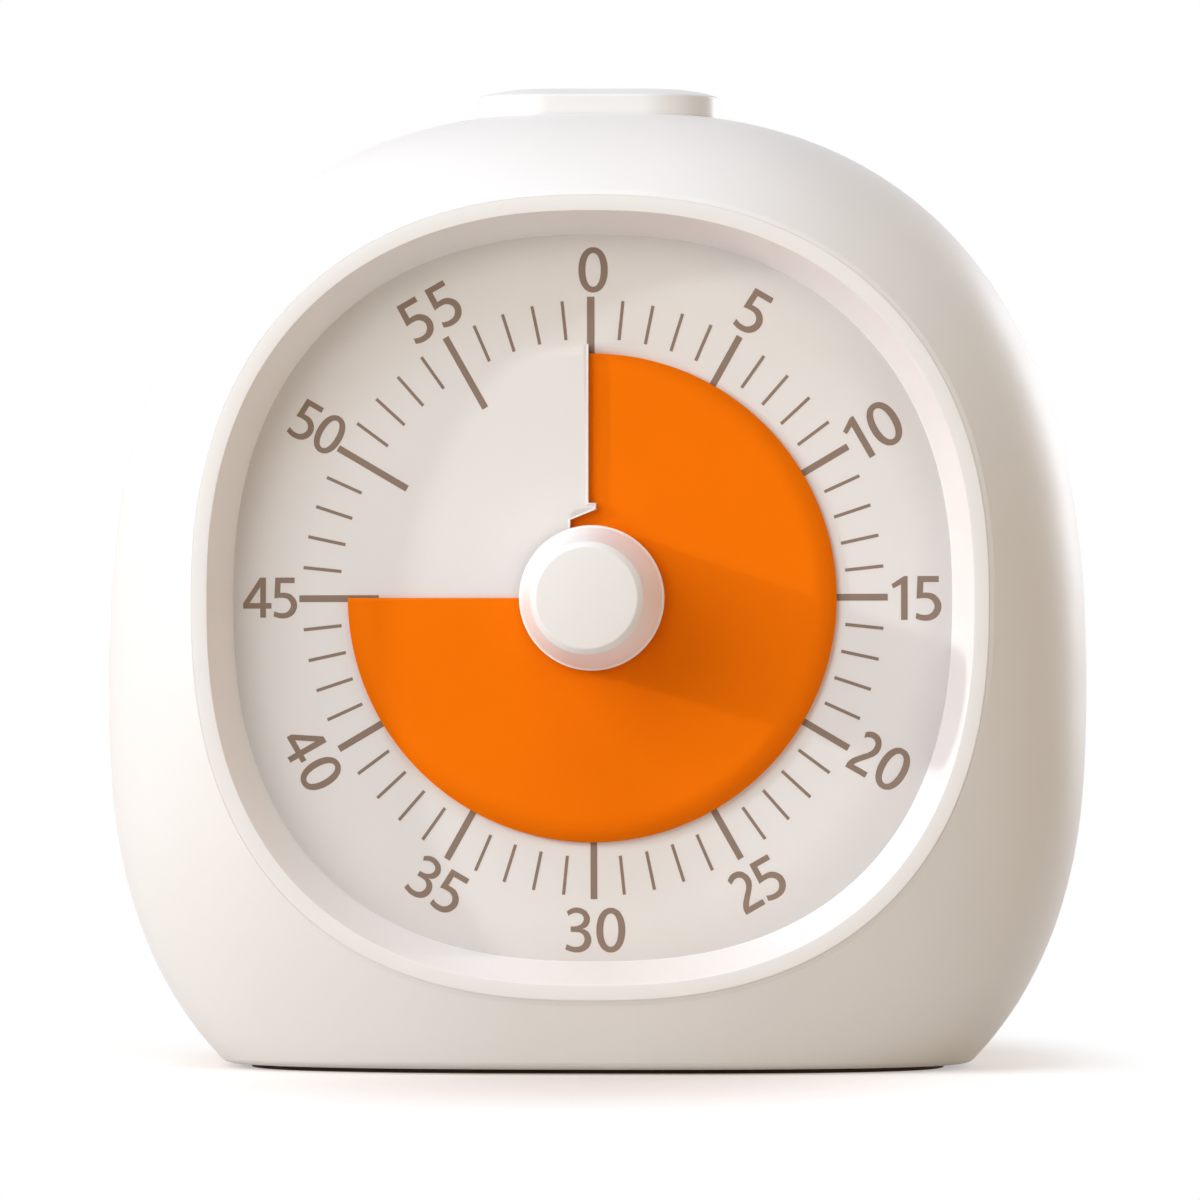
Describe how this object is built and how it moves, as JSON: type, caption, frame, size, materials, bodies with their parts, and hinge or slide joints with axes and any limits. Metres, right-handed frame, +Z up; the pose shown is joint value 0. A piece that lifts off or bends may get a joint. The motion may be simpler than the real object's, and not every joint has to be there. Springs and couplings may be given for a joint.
{
  "type": "visual countdown timer",
  "caption": "Desk countdown timer: turning the cone knob draws an orange disc out of a slit in the dial to show the minutes left; a press button is on top.",
  "frame": {"origin": "on the resting surface, under the middle of the base pad, in the plane where the two shells meet", "axes": "+Z up, the dial faces -Y, +X to the right as seen from the front"},
  "size_m": [0.096, 0.0532, 0.0961],
  "materials": {
    "shell_white": "moulded ABS, fine matt",
    "button_white": "moulded ABS, smooth",
    "pad_brown": "soft non-slip sheet",
    "dial_white": "matt printed film",
    "print_grey": "printed ink",
    "disc_orange": "matt polypropylene film",
    "inner_white": "natural acetal",
    "movement_grey": "moulded plastic",
    "gear_white": "acetal",
    "steel": "bright steel",
    "bronze": "sintered bronze",
    "motor_can": "pressed steel can",
    "board_green": "glass-epoxy board",
    "chip_black": "moulded package",
    "buzzer_black": "moulded case",
    "switch_black": "moulded switch body",
    "cell_jacket": "plain printed jacket"
  },
  "bodies": {
    "case": {"front_shell": "shell_white", "rear_shell": "shell_white", "base_pad": "pad_brown", "bezel_ring": "shell_white", "dial": "dial_white", "scale_marks": "print_grey", "front_bush": "bronze", "rear_bush": "bronze", "chassis": "inner_white", "movement_front": "movement_grey", "movement_rear": "movement_grey", "idler_axle": "steel", "motor": "motor_can", "button_spring": "steel", "switch_board": "board_green", "button_switch": "switch_black", "battery_cell": "cell_jacket", "battery_spring": "steel", "battery_contacts": "steel", "circuit_board": "board_green", "chip": "chip_black", "crystal": "steel", "buzzer": "buzzer_black", "mute_switch": "switch_black", "case_screws": "steel", "chassis_screws": "steel", "movement_screws": "steel", "board_screws": "steel", "pcb_screws": "steel"},
    "knob": {"knob": "shell_white", "main_shaft": "steel", "shaft_clip": "steel", "clutch_spring": "steel", "time_wheel": "gear_white"},
    "disc": {"time_disc": "disc_orange", "disc_hub": "inner_white"},
    "idler": {"idler_wheel": "gear_white"},
    "motor_rotor": {"motor_pinion": "steel"},
    "button": {"top_button": "button_white"},
    "slider": {"mute_slider": "switch_black"},
    "door": {"battery_door": "shell_white"}
  },
  "joints": [
    {"name": "knob_turn", "type": "hinge", "parent": "case", "child": "knob", "pos_m": [0, -0.02, 0.046], "axis": [0, 1, 0], "range_deg": [-270, 90]},
    {"name": "disc_advance", "type": "slide", "parent": "knob", "child": "disc", "axis": [0, -1, 0], "range_m": [-0.00083, 0.00028]},
    {"name": "idler_spin", "type": "hinge", "parent": "case", "child": "idler", "pos_m": [-0.01061, -0.008, 0.05661], "axis": [0, 1, 0], "range_deg": [-361, 1081]},
    {"name": "motor_spin", "type": "hinge", "parent": "case", "child": "motor_rotor", "pos_m": [0.00139, -0.006, 0.05661], "axis": [0, 1, 0], "range_deg": [-3241, 1081]},
    {"name": "button_press", "type": "slide", "parent": "case", "child": "button", "axis": [0, 0, -1], "range_m": [0, 0.0015], "stiffness_N_per_m": 300, "springref_m": -0.002, "deforming": ["button_spring"]},
    {"name": "mute_slide", "type": "slide", "parent": "case", "child": "slider", "axis": [1, 0, 0], "range_m": [0, 0.003]},
    {"name": "door_pull", "type": "slide", "parent": "case", "child": "door", "axis": [0, 1, 0], "range_m": [0, 0.03]}
  ],
  "couplings": [
    {"joint": "disc_advance", "follows": "knob_turn", "m_per_rad": 0.00017507},
    {"joint": "idler_spin", "follows": "knob_turn", "ratio": -4},
    {"joint": "motor_spin", "follows": "knob_turn", "ratio": 12}
  ]
}
